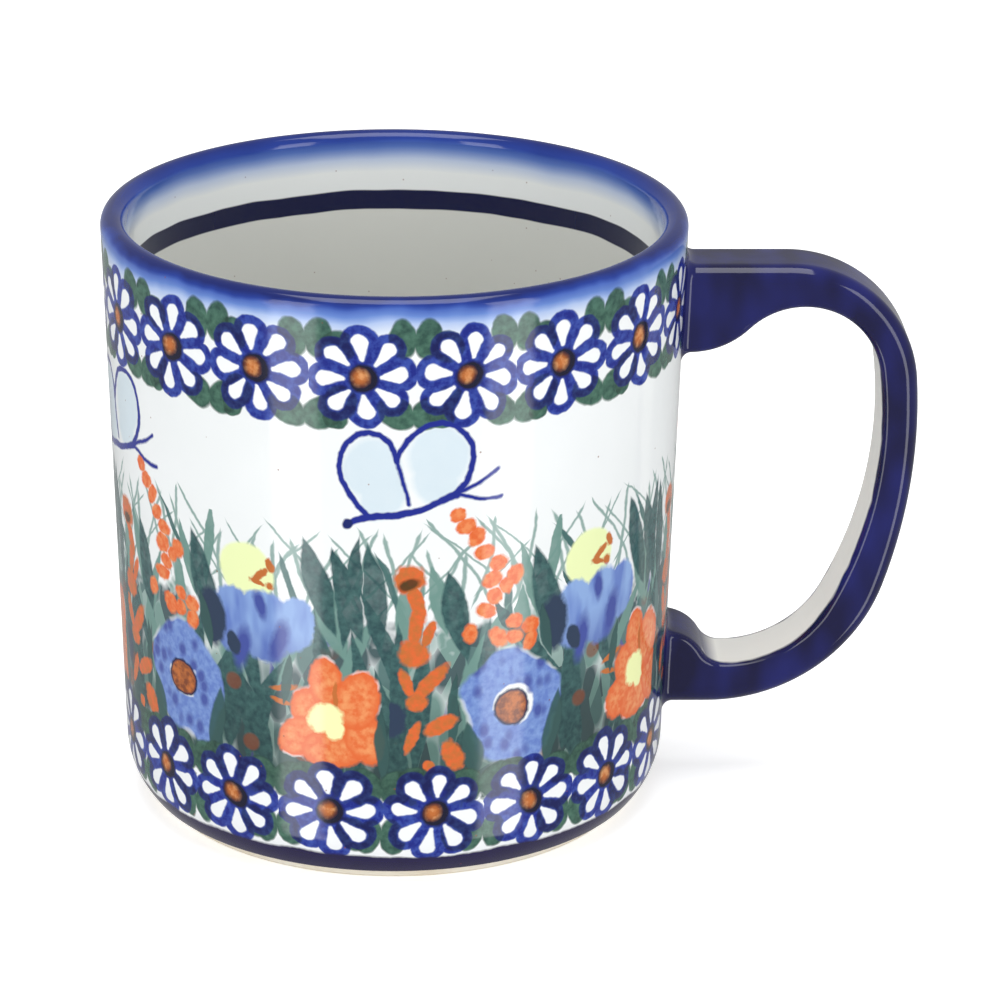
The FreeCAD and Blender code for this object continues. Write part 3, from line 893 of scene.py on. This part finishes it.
def softbox(name, azimuth, elevation, distance, size, watts):
    light = bpy.data.lights.new(name, "AREA")
    light.shape = "RECTANGLE"
    light.size, light.size_y = size
    light.energy = watts
    lamp = bpy.data.objects.new(name, light)
    lamp.visible_camera = False
    bpy.context.scene.collection.objects.link(lamp)
    aim(lamp, around(azimuth, elevation, distance, LIGHT_TARGET), LIGHT_TARGET)


def studio():
    """A white room with two tall softboxes in front and a broad one overhead."""
    world = bpy.data.worlds.new("studio")
    world.use_nodes = True
    tree = world.node_tree
    back = tree.nodes["Background"]
    path = tree.nodes.new("ShaderNodeLightPath")
    level = tree.nodes.new("ShaderNodeMapRange")
    level.inputs["To Max"].default_value = ROOM_LOOK
    tree.links.new(path.outputs["Is Camera Ray"], level.inputs["Value"])
    mirrored = tree.nodes.new("ShaderNodeMapRange")
    mirrored.inputs["To Min"].default_value = ROOM_LIGHT
    mirrored.inputs["To Max"].default_value = ROOM_MIRRORED
    tree.links.new(path.outputs["Is Glossy Ray"], mirrored.inputs["Value"])
    tree.links.new(mirrored.outputs[0], level.inputs["To Min"])
    tree.links.new(level.outputs[0], back.inputs["Strength"])
    back.inputs["Color"].default_value = (1.0, 1.0, 1.0, 1.0)
    scene = bpy.context.scene
    scene.world = world
    scene.view_settings.view_transform = "Standard"
    softbox("softbox_left", -40.0, -4.0, 1.3, TALL_SOFTBOX, SOFTBOX_WATTS)
    softbox("softbox_right", 45.0, -4.0, 1.3, TALL_SOFTBOX, SOFTBOX_WATTS)
    softbox("softbox_top", 0.0, 82.0, 1.2, BROAD_SOFTBOX, SOFTBOX_WATTS)
    bpy.ops.mesh.primitive_plane_add(size=FLOOR_SIZE)
    floor = bpy.context.object
    floor.name = "floor"
    floor.data.materials.append(floor_paint())
    floor.visible_glossy = False


def camera():
    data = bpy.data.cameras.new("camera")
    data.lens = LENS
    data.sensor_width = 36.0
    data.clip_start = 0.05
    data.clip_end = 20.0
    eye = bpy.data.objects.new("camera", data)
    bpy.context.scene.collection.objects.link(eye)
    target = Vector(CAMERA_TARGET) * MM
    aim(eye, around(CAMERA_AZIMUTH, CAMERA_ELEVATION, CAMERA_DISTANCE * MM, target), target)
    eye.matrix_world = eye.matrix_world @ Matrix.Rotation(CAMERA_ROLL, 4, "Z")
    bpy.context.scene.camera = eye


def main():
    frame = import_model()
    clay = clay_paint("bare_clay", CLAY, 0.62)
    paintings = [lower_wall(), upper_wall()]
    wall = glaze_coat("wall_glaze", "outer_glaze", outer_line, paintings)
    for face in wall.data.polygons:
        face.material_index = int(face.center.z > PAINT_SPLIT_HEIGHT * MM)
    glaze_coat("inside_glaze", "inner_glaze", inner_line, [inside_paint()])
    for node in ("cup", "handle", "upper_handle_slip", "lower_handle_slip"):
        repaint(frame, node, clay)
    repaint(frame, "handle_glaze", handle_paint())
    repaint(frame, "base_glaze", clay_paint("base_paint", CLAY, 0.2))
    studio()
    camera()


main()
